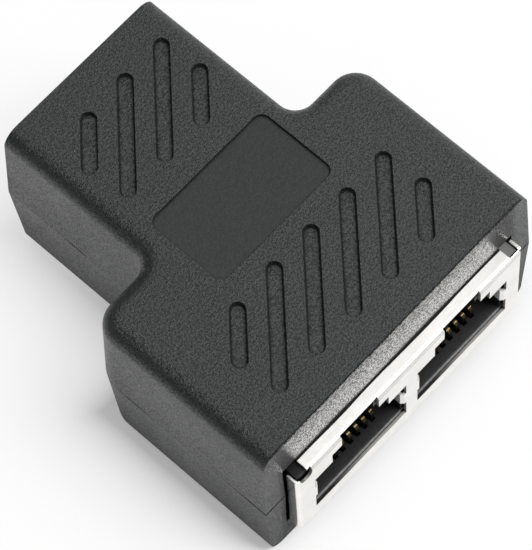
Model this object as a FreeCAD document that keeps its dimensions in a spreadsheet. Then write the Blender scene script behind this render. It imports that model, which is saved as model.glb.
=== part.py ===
import FreeCAD, Part
import math
import os
import Sketcher

# Ethernet splitter adapter: a T-shaped plastic housing in two shells, with a
# double shielded socket at the wide front end and a single one at the narrow
# back end, both on one circuit board.
#
# Frame: +Z up, the double socket faces -Y, X across. The origin is under the
# middle of the whole part, on the surface that it lies on. Millimetres.
# Each socket assembly is drawn in its own frame, with y = 0 on the outer face
# of its shield and y running into the housing, and then placed.

SIZES = {
    # housing
    "body_length": (40.3, "housing at the parting plane, front to back"),
    "wide_length": (21.95, "front face to the shoulders"),
    "side_gap": (1.35, "front shield to the housing's inner side"),
    "neck_gap": (0.55, "rear shield to the neck's inner side"),
    "wall": (1.5, "side and end walls"),
    "roof": (1.8, "top wall"),
    "ground": (1.8, "bottom wall"),
    "side_draft": (2.8, "slope of the sides from the parting plane, degrees"),
    "front_lean": (0.25, "front face sets back by this at the top and bottom"),
    "back_lean": (0.5, "back face sets back by this at the top and bottom"),
    "edge_radius": (1.8, "rounding along the sides, top and bottom"),
    "shoulder_radius": (3.2, "outer corners of the shoulders"),
    "neck_radius": (1.5, "inner corners where the neck starts"),
    "roof_gap": (4.0, "shield to the roof"),
    "board_gap": (0.8, "circuit board to the bottom wall"),
    "end_clearance": (0.25, "shield to the edge of its cut-out"),
    # grip slots and label recess
    "slot_pitch": (4.9, "grip slots, measured across the housing"),
    "slot_width": (1.62, "grip slot"),
    "slot_depth": (0.5, "grip slot"),
    "slot_draft": (20.0, "slope of the grip slots' walls, degrees"),
    "slot_reach": (3.97, "long slot, middle to the centre of its round end"),
    "slot_start": (0.27, "first short slot, middle to the centre of its inner end"),
    "short_slot": (3.45, "short slot, between the centres of its round ends"),
    "grip_inset": (8.07, "front top edge to the middle of the front grip"),
    "grip_spacing": (23.22, "front grip to rear grip"),
    "label_width": (15.2, "label recess across the housing"),
    "label_length": (9.15, "label recess along the housing"),
    "label_radius": (1.0, "label recess corners"),
    "label_depth": (0.3, "label recess"),
    "label_shift": (0.72, "label recess, middle of the housing to its middle"),
    "top_shift": (0.3, "grips and label recess to the right of the housing's middle"),
    # joint of the two shells
    "lip_height": (0.8, "tongue of the bottom shell"),
    "lip_thickness": (0.7, "tongue of the bottom shell"),
    "lip_clearance": (0.1, "tongue to its rebate"),
    "boss_radius": (2.1, "bosses that join the shells"),
    "pin_radius": (1.0, "pins of the top shell"),
    "pin_length": (5.0, "pins of the top shell below the parting plane"),
    "pin_clearance": (0.05, "pin to its hole"),
    "boss_margin": (0.6, "boss to the wall beside it"),
    "rib_width": (1.2, "support ribs"),
    "rib_length": (8.0, "support ribs"),
    "rib_start": (4.2, "outer face of a shield to its ribs"),
    # sockets
    "socket_pitch": (13.97, "between the two front sockets"),
    "jack_width": (16.73, "outside of a single shield"),
    "jack_depth": (15.2, "shield face to the back of the socket housing"),
    "shield_height": (12.4, "outside of a shield"),
    "shield_proud": (1.52, "shield beyond the housing at the parting plane"),
    "sheet": (0.3, "shield sheet"),
    "bend_radius": (0.5, "outside of the shield's folds"),
    "flap_depth": (11.0, "top and side flaps, from the shield's face"),
    "bottom_flap": (1.9, "bottom flap, from the shield's face"),
    "corner_gap": (1.5, "shield side to the end of the top flap"),
    "relief_radius": (0.75, "round relief at one corner of a shield"),
    "relief_reach": (0.42, "relief beyond the end of the top flap"),
    "relief_depth": (1.47, "top of the shield to the bottom of the relief"),
    "relief_drop": (0.8, "top of the shield to the lowered side flap"),
    "window_width": (12.44, "window of the shield"),
    "window_sill": (2.3, "bottom of the shield to its window"),
    "latch_step": (8.8, "bottom of the shield to the latch step"),
    "latch_shelf": (10.44, "bottom of the shield to the latch notch"),
    "step_width": (7.63, "latch step of the window"),
    "notch_width": (5.0, "latch notch of the window"),
    "leaf_width": (2.1, "grounding leaf"),
    "leaf_rise": (4.8, "bottom of the shield to a grounding leaf"),
    "leaf_reach": (3.2, "grounding leaf, from the shield's face"),
    "leaf_inset": (0.55, "grounding leaf into the window"),
    "leg_width": (1.2, "solder leg of a shield"),
    "leg_place": (8.0, "solder leg, from the shield's face"),
    "insert_gap": (0.2, "shield's front to the socket housing"),
    "insert_fit": (0.05, "socket housing to the flaps"),
    "cavity_step": (0.27, "cavity inside the edge of the window"),
    "cavity_lift": (0.1, "cavity floor above the window's sill"),
    "cavity_roof": (0.4, "socket housing above the latch notch"),
    "cavity_back": (3.0, "back of a cavity to the back of the socket housing"),
    "sill_chamfer": (0.15, "front edge of the cavity floor, above its lip"),
    "lip_rise": (0.6, "lip in front of the cavity floor"),
    # contacts and their carriers
    "contact_pitch": (1.016, "contacts of a socket"),
    "contact_width": (0.4, "contact"),
    "contact_thickness": (0.3, "contact"),
    "contact_run": (1.3, "circuit board to the contact's flat run"),
    "contact_front": (2.0, "shield face to the contact's front rise"),
    "contact_crest": (3.9, "circuit board to the contact's front bend"),
    "contact_bend": (0.3, "radius of the contact's front bend"),
    "contact_slope": (8.0, "rise of the spring arm, degrees"),
    "contact_entry": (0.4, "contact tip into the comb"),
    "tail_row": (9.6, "shield face to the first row of tails"),
    "tail_step": (2.54, "between the two rows of tails"),
    "tail_length": (2.2, "circuit board's top to the tail's tip"),
    "groove_clearance": (0.06, "contact to the sides of its groove"),
    "groove_floor": (0.15, "contact to the floor of its groove"),
    "carrier_front": (8.6, "shield face to the carrier's foot"),
    "carrier_rise": (7.8, "circuit board to the top of a carrier"),
    "carrier_margin": (0.6, "last contact to the carrier's side"),
    "carrier_fit": (0.05, "carrier to the socket housing"),
    "comb_drop": (3.2, "comb slots below the carrier's top"),
    # circuit board
    "board_thickness": (1.6, "circuit board"),
    "board_fit": (0.3, "circuit board beyond the sockets"),
    "board_end": (0.8, "circuit board to the end walls"),
    "tail_hole": (0.45, "radius of the holes for the tails"),
    "leg_fit": (0.15, "solder leg to its notch"),
}

CONTACTS = 8
CONTACT_KINKS = 3
TAIL_ROWS = 2
HOLE_SIDES = 8
FRONT_SLOTS = 6
REAR_SLOTS = 4
FRONT_SOCKETS = (-1, 1)
REAR_SOCKETS = (0,)
TOLERANCE = 0.01
PARTS_FOLDER = "parts"


class Size:
    """A number together with the sheet expression that gives it."""

    def __init__(self, value, text):
        self.value = value
        self.text = text

    def __add__(self, other):
        other = as_size(other)
        return Size(self.value + other.value, f"({self.text} + {other.text})")

    def __sub__(self, other):
        other = as_size(other)
        return Size(self.value - other.value, f"({self.text} - {other.text})")

    def __mul__(self, other):
        other = as_size(other)
        return Size(self.value * other.value, f"({self.text} * {other.text})")

    def __truediv__(self, other):
        other = as_size(other)
        return Size(self.value / other.value, f"({self.text} / {other.text})")

    def __rsub__(self, other):
        return as_size(other) - self

    def __neg__(self):
        return Size(-self.value, f"(-{self.text})")

    __radd__ = __add__
    __rmul__ = __mul__


class Sizes:
    """The driving dimensions, each named as in the sheet."""


def as_size(number):
    """A plain number as a Size."""
    if isinstance(number, Size):
        return number
    return Size(float(number), repr(float(number)))


def cosine(angle):
    """Cosine of a size in degrees."""
    return Size(math.cos(math.radians(angle.value)), f"cos({angle.text})")


def sine(angle):
    """Sine of a size in degrees."""
    return Size(math.sin(math.radians(angle.value)), f"sin({angle.text})")


def make_sheet(doc):
    """Writes the driving dimensions to a sheet and returns them by name."""
    sheet = doc.addObject("Spreadsheet::Sheet", "Dimensions")
    sizes = Sizes()
    for row, (alias, (value, meaning)) in enumerate(SIZES.items(), 1):
        sheet.set(f"A{row}", meaning)
        sheet.set(f"B{row}", str(value))
        sheet.setAlias(f"B{row}", alias)
        setattr(sizes, alias, Size(value, f"Dimensions.{alias}"))
    doc.recompute()
    return sizes


def bind(feature, name, size):
    """Ties a property to the sheet."""
    feature.setExpression(name, as_size(size).text)


# Sketches


def sketch_on(body, role, name, offset=0.0):
    """A sketch on one of the body's origin planes, moved along its normal."""
    sketch = body.newObject("Sketcher::SketchObject", name)
    plane = next(item for item in body.Origin.OriginFeatures if item.Role == role)
    sketch.AttachmentSupport = (plane, [""])
    sketch.MapMode = "FlatFace"
    bind(sketch, "AttachmentOffset.Base.z", offset)
    return sketch


def fix_point(sketch, geometry, end, x, y):
    """Sets a point's distances from the sketch's origin."""
    for kind, place in (("DistanceX", as_size(x)), ("DistanceY", as_size(y))):
        rule = Sketcher.Constraint(kind, -1, 1, geometry, end, place.value)
        index = sketch.addConstraint(rule)
        sketch.setExpression(f"Constraints[{index}]", place.text)


def fix_radius(sketch, geometry, radius):
    """Sets the radius of an arc or circle."""
    index = sketch.addConstraint(Sketcher.Constraint("Radius", geometry, radius.value))
    sketch.setExpression(f"Constraints[{index}]", radius.text)


def vector(x, y):
    """A sketch point from two sizes."""
    return FreeCAD.Vector(as_size(x).value, as_size(y).value, 0)


def polygon(sketch, points):
    """A closed outline of straight lines through the points."""
    first = sketch.GeometryCount
    count = len(points)
    for number, point in enumerate(points):
        following = points[(number + 1) % count]
        sketch.addGeometry(Part.LineSegment(vector(*point), vector(*following)), False)
    for number in range(count):
        after = first + (number + 1) % count
        sketch.addConstraint(Sketcher.Constraint("Coincident", first + number, 2, after, 1))
    for number, point in enumerate(points):
        fix_point(sketch, first + number, 1, *point)


def rectangle(sketch, left, right, low, high):
    """A rectangle between four sizes."""
    polygon(sketch, [(left, low), (right, low), (right, high), (left, high)])


def circle(sketch, x, y, radius):
    """A circle at a point."""
    index = sketch.addGeometry(
        Part.Circle(vector(x, y), FreeCAD.Vector(0, 0, 1), radius.value), False)
    fix_point(sketch, index, 3, x, y)
    fix_radius(sketch, index, radius)


def drilled(sketch, x, y, radius):
    """A small drilled hole, as an even outline of straight sides."""
    turns = [as_size(360 * (side + 0.5) / HOLE_SIDES) for side in range(HOLE_SIDES)]
    polygon(sketch, [(x + radius * cosine(turn), y + radius * sine(turn)) for turn in turns])


def rounded_outline(sketch, points, radii):
    """A closed outline of lines and tangent arcs about the given arc centres.

    The points are the arcs' centres, in anticlockwise order, and the outline
    is the band's edge that lies one radius outside them.
    """
    first = sketch.GeometryCount
    count = len(points)
    spots = [vector(*point) for point in points]
    for number, centre in enumerate(spots):
        before = centre - spots[number - 1]
        after = spots[(number + 1) % count] - centre
        start = math.atan2(before.y, before.x) - math.pi / 2
        stop = math.atan2(after.y, after.x) - math.pi / 2
        rim = Part.Circle(centre, FreeCAD.Vector(0, 0, 1), radii[number].value)
        sketch.addGeometry(Part.ArcOfCircle(rim, start, stop), False)
    for number in range(count):
        following = (number + 1) % count
        here = sketch.getPoint(first + number, 2)
        there = sketch.getPoint(first + following, 1)
        line = sketch.addGeometry(Part.LineSegment(here, there), False)
        sketch.addConstraint(Sketcher.Constraint("Tangent", first + number, 2, line, 1))
        sketch.addConstraint(Sketcher.Constraint("Tangent", line, 2, first + following, 1))
    for number, point in enumerate(points):
        fix_point(sketch, first + number, 3, *point)
        fix_radius(sketch, first + number, radii[number])


def corner_arc(before, corner, after, radius):
    """The arc that rounds a square corner, and whether it turns left there."""
    inward = (before - corner).normalize()
    outward = (after - corner).normalize()
    centre = corner + (inward + outward) * radius
    left = inward.x * outward.y - inward.y * outward.x < 0
    start, stop = (-outward, -inward) if left else (-inward, -outward)
    rim = Part.Circle(centre, FreeCAD.Vector(0, 0, 1), radius)
    arc = Part.ArcOfCircle(rim, math.atan2(start.y, start.x), math.atan2(stop.y, stop.x))
    return arc, left


def square_outline(sketch, corners):
    """A closed outline of lines along x and y in turn, starting along x.

    Each corner is x, y and its rounding, or None where it is sharp, in
    anticlockwise order.
    """
    count = len(corners)
    first = sketch.GeometryCount
    spots = [vector(x, y) for x, y, radius in corners]
    for number in range(count):
        sketch.addGeometry(Part.LineSegment(spots[number], spots[(number + 1) % count]), False)
    for number, (x, y, radius) in enumerate(corners):
        line, before = first + number, first + (number - 1) % count
        level = number % 2 == 0
        sketch.addConstraint(Sketcher.Constraint("Horizontal" if level else "Vertical", line))
        kind, place = ("DistanceY", as_size(y)) if level else ("DistanceX", as_size(x))
        index = sketch.addConstraint(Sketcher.Constraint(kind, -1, 1, line, 1, place.value))
        sketch.setExpression(f"Constraints[{index}]", place.text)
        if radius is None:
            sketch.addConstraint(Sketcher.Constraint("Coincident", before, 2, line, 1))
            continue
        arc, left = corner_arc(spots[number - 1], spots[number], spots[(number + 1) % count],
                               radius.value)
        index = sketch.addGeometry(arc, False)
        start, stop = (1, 2) if left else (2, 1)
        sketch.addConstraint(Sketcher.Constraint("Tangent", before, 2, index, start))
        sketch.addConstraint(Sketcher.Constraint("Tangent", index, stop, line, 1))
        fix_radius(sketch, index, radius)


def tee_outline(sketch, size, inset, front, back, rounded=True):
    """The housing's T outline, moved in by the inset at its sides."""
    half_body = body_width(size) / 2 - inset
    half_neck = neck_width(size) / 2 - inset
    shoulder = shoulder_y(size) - inset
    outer = size.shoulder_radius - inset if rounded else None
    inner = size.neck_radius + inset if rounded else None
    square_outline(sketch, [
        (-half_body, front, None), (half_body, front, None),
        (half_body, shoulder, outer), (half_neck, shoulder, inner),
        (half_neck, back, None), (-half_neck, back, None),
        (-half_neck, shoulder, inner), (-half_body, shoulder, outer),
    ])


# Features


def pad(body, sketch, length, name, up=True, draft=None, both=False):
    """Adds the sketch's area over a length along its normal, or against it."""
    feature = body.newObject("PartDesign::Pad", name)
    feature.Profile = sketch
    bind(feature, "Length", length)
    feature.Reversed = not up
    feature.Midplane = both
    if draft is not None:
        bind(feature, "TaperAngle", -draft)
    return feature


def pocket(body, sketch, length, name, up=False, draft=None, both=False):
    """Cuts the sketch's area over a length against its normal, or along it."""
    body.Document.recompute()
    before = body.Shape.Volume
    feature = body.newObject("PartDesign::Pocket", name)
    feature.Profile = sketch
    bind(feature, "Length", length)
    feature.Reversed = up
    feature.Midplane = both
    if draft is not None:
        bind(feature, "TaperAngle", -draft)
    body.Document.recompute()
    if not body.Shape.Volume < before:
        raise RuntimeError(f"{name} cuts nothing from {body.Label}")
    return feature


def dress(body, kind, name, base, wanted, size):
    """A fillet or chamfer on the edges of a feature that the test accepts."""
    body.Document.recompute()
    edges = [f"Edge{i}" for i, edge in enumerate(base.Shape.Edges, 1) if wanted(edge)]
    if not edges:
        raise RuntimeError(f"{name} finds no edge on {body.Label}")
    feature = body.newObject(f"PartDesign::{kind}", name)
    feature.Base = (base, edges)
    bind(feature, "Radius" if kind == "Fillet" else "Size", size)
    body.Document.recompute()
    return feature


def slope_sides(body, name, base, level, wanted, angle):
    """Leans the wanted faces inward from the flat face at a level."""
    body.Document.recompute()
    faces = base.Shape.Faces
    leaning = [f"Face{i}" for i, face in enumerate(faces, 1) if wanted(face)]
    neutral = [f"Face{i}" for i, face in enumerate(faces, 1)
               if near(face.BoundBox.ZMin, level) and near(face.BoundBox.ZMax, level)]
    feature = body.newObject("PartDesign::Draft", name)
    feature.Base = (base, leaning)
    feature.NeutralPlane = (base, neutral[:1])
    bind(feature, "Angle", angle)
    body.Document.recompute()
    if feature.Shape.Volume > base.Shape.Volume:
        feature.Reversed = True
        body.Document.recompute()
    return feature


def along(edge, axis):
    """Whether a straight edge runs along an axis, 0 to 2."""
    ends = [vertex.Point for vertex in edge.Vertexes]
    if len(ends) < 2 or edge.Curve.TypeId != "Part::GeomLine":
        return False
    step = ends[1] - ends[0]
    return step.Length - abs(step[axis]) < TOLERANCE


def near(value, size):
    """Whether a coordinate lies on a size."""
    return abs(value - as_size(size).value) < TOLERANCE


# Places that several pieces share


def front_shield_width(size):
    return size.jack_width + size.socket_pitch


def body_width(size):
    return front_shield_width(size) + 2 * size.side_gap + 2 * size.wall


def neck_width(size):
    return size.jack_width + 2 * size.neck_gap + 2 * size.wall


def board_top(size):
    return size.ground + size.board_gap + size.board_thickness


def shield_top(size):
    return board_top(size) + size.shield_height


def body_height(size):
    return shield_top(size) + size.roof_gap + size.roof


def parting(size):
    return body_height(size) / 2


def half_length(size):
    return size.body_length / 2


def shoulder_y(size):
    return size.wide_length - half_length(size)


def face_y(size):
    """Middle of the part to the outer face of either shield."""
    return half_length(size) + size.shield_proud


def socket_x(size, side):
    """Middle of a shield to one of its sockets."""
    return size.socket_pitch / 2 * side


def contact_x(size, number):
    """Middle of a socket to one of its contacts."""
    return size.contact_pitch * (number - (CONTACTS - 1) / 2)


def tail_y(size, number):
    """Shield face to a contact's tail: odd and even tails stand in two rows."""
    return size.tail_row + size.tail_step * (number % TAIL_ROWS)


def shield_half(size, sockets):
    return size.jack_width / 2 + size.socket_pitch / 2 * (len(sockets) - 1)


def boss_places(size):
    """The bosses that join the shells, in the corners behind the front socket."""
    across = body_width(size) / 2 - size.wall - size.boss_radius - size.boss_margin
    behind = shoulder_y(size) - size.wall - size.boss_radius - size.boss_margin
    return [(-across, behind), (across, behind)]


def rib_places(size):
    """Support ribs beside the rows of tails: x, and the way in from an end."""
    outer = shield_half(size, FRONT_SOCKETS) - 2 * size.rib_width
    rear = shield_half(size, REAR_SOCKETS) - 2 * size.rib_width
    return [(-outer, -1), (as_size(0), -1), (outer, -1), (-rear, 1), (rear, 1)]


# Housing shells


def shell_blank(body, size, up):
    """A drafted half of the T body with rounded sides and plain flat ends."""
    half = parting(size)
    stock = size.wall
    outline = sketch_on(body, "XY_Plane", "Outline", half)
    tee_outline(outline, size, 0.0, -half_length(size) - stock, half_length(size) + stock)
    block = pad(body, outline, half, "Block", up)
    edge_level = body_height(size) if up else as_size(0)

    def is_side(face):
        upright = abs(face.normalAt(0, 0).z) < TOLERANCE
        return upright and abs(face.CenterOfMass.y) < half_length(size).value

    block = slope_sides(body, "SideDraft", block, half, is_side, size.side_draft)

    def on_side(edge):
        box = edge.BoundBox
        flat = near(box.ZMin, edge_level) and near(box.ZMax, edge_level)
        return flat and abs(edge.CenterOfMass.y) < half_length(size).value

    dress(body, "Fillet", "SideEdges", block, on_side, size.edge_radius)

    ends = sketch_on(body, "YZ_Plane", "EndPlanes")
    reach = half_length(size) + 2 * stock
    for sign, lean in ((-1, size.front_lean), (1, size.back_lean)):
        near_y = half_length(size) * sign
        top_y = (half_length(size) - lean) * sign
        polygon(ends, [(near_y, half), (top_y, edge_level),
                       (reach * sign, edge_level), (reach * sign, half)])
    pocket(body, ends, 2 * body_width(size), "Ends", both=True)


def end_openings(body, size):
    """The cut-outs in the end walls that the shields stand in."""
    depth = size.wall * 2
    low = board_top(size) - size.end_clearance
    high = shield_top(size) + size.end_clearance
    for name, sockets, sign in (("FrontOpening", FRONT_SOCKETS, 1),
                                ("RearOpening", REAR_SOCKETS, -1)):
        half = shield_half(size, sockets) + size.end_clearance
        opening = sketch_on(body, "XZ_Plane", name + "Outline",
                            (half_length(size) + size.wall / 2) * sign)
        rectangle(opening, -half, half, low, high)
        pocket(body, opening, depth, name, up=sign < 0)


def cavity(body, size, up, depth):
    """The hollow of a shell, from the parting plane."""
    hollow = sketch_on(body, "XY_Plane", "HollowOutline", parting(size))
    end = half_length(size) - size.wall
    tee_outline(hollow, size, size.wall, -end, end, rounded=False)
    pocket(body, hollow, depth, "Hollow", up, size.side_draft)


def ribs(body, size, start, height, up):
    """Ribs that bear on the board or on the shields."""
    outline = sketch_on(body, "XY_Plane", "RibOutlines", start)
    for x, sign in rib_places(size):
        outer = (face_y(size) - size.rib_start) * sign
        inner = (face_y(size) - size.rib_start - size.rib_length) * sign
        low, high = (outer, inner) if sign < 0 else (inner, outer)
        rectangle(outline, x - size.rib_width / 2, x + size.rib_width / 2, low, high)
    pad(body, outline, height, "Ribs", up)


def grip_slots(body, size):
    """Two groups of diagonal round-ended slots, the first and last cut short."""
    outline = sketch_on(body, "XY_Plane", "SlotOutlines", body_height(size))
    front = size.front_lean - half_length(size) + size.grip_inset
    radius = size.slot_width / 2
    for count, middle in ((FRONT_SLOTS, front), (REAR_SLOTS, front + size.grip_spacing)):
        for number in range(count):
            x = size.top_shift + size.slot_pitch * (number - (count - 1) / 2)
            short = number in (0, count - 1)
            low = size.slot_start if number == 0 else -size.slot_reach
            high = low + size.short_slot if short else size.slot_reach
            rounded_outline(outline, [(x + low, middle + low), (x + high, middle + high)],
                            [radius, radius])
    pocket(body, outline, size.slot_depth, "GripSlots", draft=size.slot_draft)


def label_recess(body, size):
    """The shallow panel with rounded corners across the shoulders."""
    outline = sketch_on(body, "XY_Plane", "LabelOutline", body_height(size))
    x = size.label_width / 2 - size.label_radius
    y = size.label_length / 2 - size.label_radius
    left, right = size.top_shift - x, size.top_shift + x
    low, high = -size.label_shift - y, -size.label_shift + y
    corners = [(left, low), (right, low), (right, high), (left, high)]
    rounded_outline(outline, corners, [size.label_radius] * 4)
    pocket(body, outline, size.label_depth, "LabelRecess")


def make_top_shell(doc, size):
    """The upper half, with the grip slots, the label recess and the pins."""
    body = doc.addObject("PartDesign::Body", "TopShell")
    body.Label = "top_shell"
    shell_blank(body, size, up=True)
    inner_height = parting(size) - size.roof
    cavity(body, size, True, inner_height)

    rebate = sketch_on(body, "XY_Plane", "RebateOutline", parting(size))
    inset = size.wall - size.lip_thickness - size.lip_clearance
    end = half_length(size) - inset
    tee_outline(rebate, size, inset, -end, end)
    pocket(body, rebate, size.lip_height + size.lip_clearance, "Rebate", up=True)

    posts = sketch_on(body, "XY_Plane", "PostOutlines", parting(size))
    for x, y in boss_places(size):
        circle(posts, x, y, size.boss_radius)
    pad(body, posts, inner_height, "Posts")
    pins = sketch_on(body, "XY_Plane", "PinOutlines", parting(size))
    for x, y in boss_places(size):
        circle(pins, x, y, size.pin_radius)
    pad(body, pins, size.pin_length, "Pins", up=False)
    ribs(body, size, body_height(size) - size.roof, size.roof_gap, up=False)
    end_openings(body, size)
    grip_slots(body, size)
    label_recess(body, size)
    return body


def make_bottom_shell(doc, size):
    """The lower half, with the tongue, the bosses and the board's ribs."""
    body = doc.addObject("PartDesign::Body", "BottomShell")
    body.Label = "bottom_shell"
    shell_blank(body, size, up=False)
    inner_height = parting(size) - size.ground
    cavity(body, size, False, inner_height)

    tongue = sketch_on(body, "XY_Plane", "TongueOutline", parting(size))
    for inset in (size.wall - size.lip_thickness, size.wall):
        end = half_length(size) - inset
        tee_outline(tongue, size, inset, -end, end)
    pad(body, tongue, size.lip_height, "Tongue")

    bosses = sketch_on(body, "XY_Plane", "BossOutlines", size.ground)
    for x, y in boss_places(size):
        circle(bosses, x, y, size.boss_radius)
    pad(body, bosses, inner_height, "Bosses")
    holes = sketch_on(body, "XY_Plane", "PinHoleOutlines", parting(size))
    for x, y in boss_places(size):
        circle(holes, x, y, size.pin_radius + size.pin_clearance)
    pocket(body, holes, size.pin_length + size.pin_clearance, "PinHoles")
    ribs(body, size, size.ground, size.board_gap, up=True)
    end_openings(body, size)
    return body


# Sockets


def place_socket_piece(body, size, x, rear):
    """Moves a piece from its socket's frame to an end of the housing."""
    if rear:
        body.Placement.Rotation = FreeCAD.Rotation(FreeCAD.Vector(0, 0, 1), 180)
    bind(body, "Placement.Base.x", -as_size(x) if rear else x)
    bind(body, "Placement.Base.y", face_y(size) if rear else -face_y(size))


def latch_outline(sketch, size, x, trim, low, high):
    """A socket's stepped outline: the plug's width, then the latch's two steps."""
    half = size.window_width / 2 - trim
    step = size.step_width / 2 - trim
    notch = size.notch_width / 2 - trim
    step_z = board_top(size) + size.latch_step - trim
    shelf_z = board_top(size) + size.latch_shelf - trim
    polygon(sketch, [
        (x - half, low), (x + half, low), (x + half, step_z), (x + step, step_z),
        (x + step, shelf_z), (x + notch, shelf_z), (x + notch, high), (x - notch, high),
        (x - notch, shelf_z), (x - step, shelf_z), (x - step, step_z), (x - half, step_z),
    ])


def window_low(size):
    return board_top(size) + size.window_sill


def make_shield(doc, size, prefix, sockets, rear):
    """A folded sheet: front plate, top, side and bottom flaps, leaves and legs."""
    body = doc.addObject("PartDesign::Body", prefix.title() + "Shield")
    body.Label = f"{prefix}_shield"
    half = shield_half(size, sockets)
    low, high = board_top(size), shield_top(size)

    outline = sketch_on(body, "XZ_Plane", "BoxOutline")
    rectangle(outline, -half, half, low, high)
    box = pad(body, outline, size.flap_depth, "Box", up=False)
    dress(body, "Fillet", "Folds", box,
          lambda edge: near(edge.CenterOfMass.y, 0.0), size.bend_radius)

    hollow = sketch_on(body, "XZ_Plane", "HollowOutline", -size.sheet)
    rectangle(hollow, -half + size.sheet, half - size.sheet, low + size.sheet, high - size.sheet)
    pocket(body, hollow, size.flap_depth, "Hollow")

    belly = sketch_on(body, "XZ_Plane", "BellyOutline", -size.bottom_flap)
    rectangle(belly, -half + size.sheet, half - size.sheet, low - size.sheet, low + size.sheet)
    pocket(body, belly, size.flap_depth, "Belly")

    gap = half - size.corner_gap
    flap_z = high - size.relief_drop
    corner = sketch_on(body, "XZ_Plane", "LeftCornerOutline", size.sheet)
    rectangle(corner, -half - size.sheet, -gap, flap_z, high + size.sheet)
    pocket(body, corner, size.flap_depth + 2 * size.sheet, "LeftCorner")
    relief = sketch_on(body, "XZ_Plane", "ReliefOutline", size.sheet)
    relief_x = size.relief_reach - gap - size.relief_radius
    relief_z = high - size.relief_depth + size.relief_radius
    rounded_outline(relief, [(relief_x, relief_z), (relief_x, high + size.relief_radius)],
                    [size.relief_radius] * 2)
    pocket(body, relief, 2 * size.sheet, "Relief")
    slit = sketch_on(body, "XZ_Plane", "RightCornerOutline", -size.sheet)
    rectangle(slit, gap, half - size.sheet, high - 2 * size.sheet, high + size.sheet)
    pocket(body, slit, size.flap_depth, "RightCorner")

    windows = sketch_on(body, "XZ_Plane", "WindowOutlines")
    for side in sockets:
        latch_outline(windows, size, socket_x(size, side), 0.0, window_low(size), high + size.sheet)
    pocket(body, windows, size.sheet, "Windows")

    leaf_z = low + size.leaf_rise
    leaves = sketch_on(body, "XY_Plane", "LeafOutlines", leaf_z)
    for side in sockets:
        for hand in (-1, 1):
            edge = size.window_width / 2
            tip = edge - size.leaf_inset
            profile = [(edge + size.sheet, 0.0), (tip + size.sheet, 0.0), (tip, size.sheet),
                       (tip, size.leaf_reach), (tip + size.sheet, size.leaf_reach),
                       (tip + size.sheet, size.sheet), (edge + size.sheet, size.sheet)]
            polygon(leaves, [(socket_x(size, side) + x * hand, y) for x, y in profile])
    pad(body, leaves, size.leaf_width, "Leaves")

    legs = sketch_on(body, "XY_Plane", "LegOutlines", low)
    start = size.leg_place - size.leg_width / 2
    rectangle(legs, -half, -half + size.sheet, start, start + size.leg_width)
    rectangle(legs, half - size.sheet, half, start, start + size.leg_width)
    pad(body, legs, size.tail_length, "Legs", up=False)
    place_socket_piece(body, size, 0.0, rear)
    return body


def cavity_depth(size):
    """Shield face to the back of a cavity."""
    return size.jack_depth - size.cavity_back


def carrier_half(size):
    return size.contact_pitch * (CONTACTS - 1) / 2 + size.contact_width / 2 + size.carrier_margin


def carrier_profile(size, grow):
    """Side view of a carrier: a foot under the cavity and an upright behind it."""
    low = board_top(size)
    foot_z = window_low(size) + size.cavity_lift - size.carrier_fit + grow
    top_z = low + size.carrier_rise + grow
    front = size.carrier_front - grow
    back = size.jack_depth
    upright = cavity_depth(size)
    return [(front, low), (back, low), (back, top_z), (upright, top_z),
            (upright, foot_z), (front, foot_z)]


def groove_half(size):
    return size.contact_width / 2 + size.groove_clearance


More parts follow.
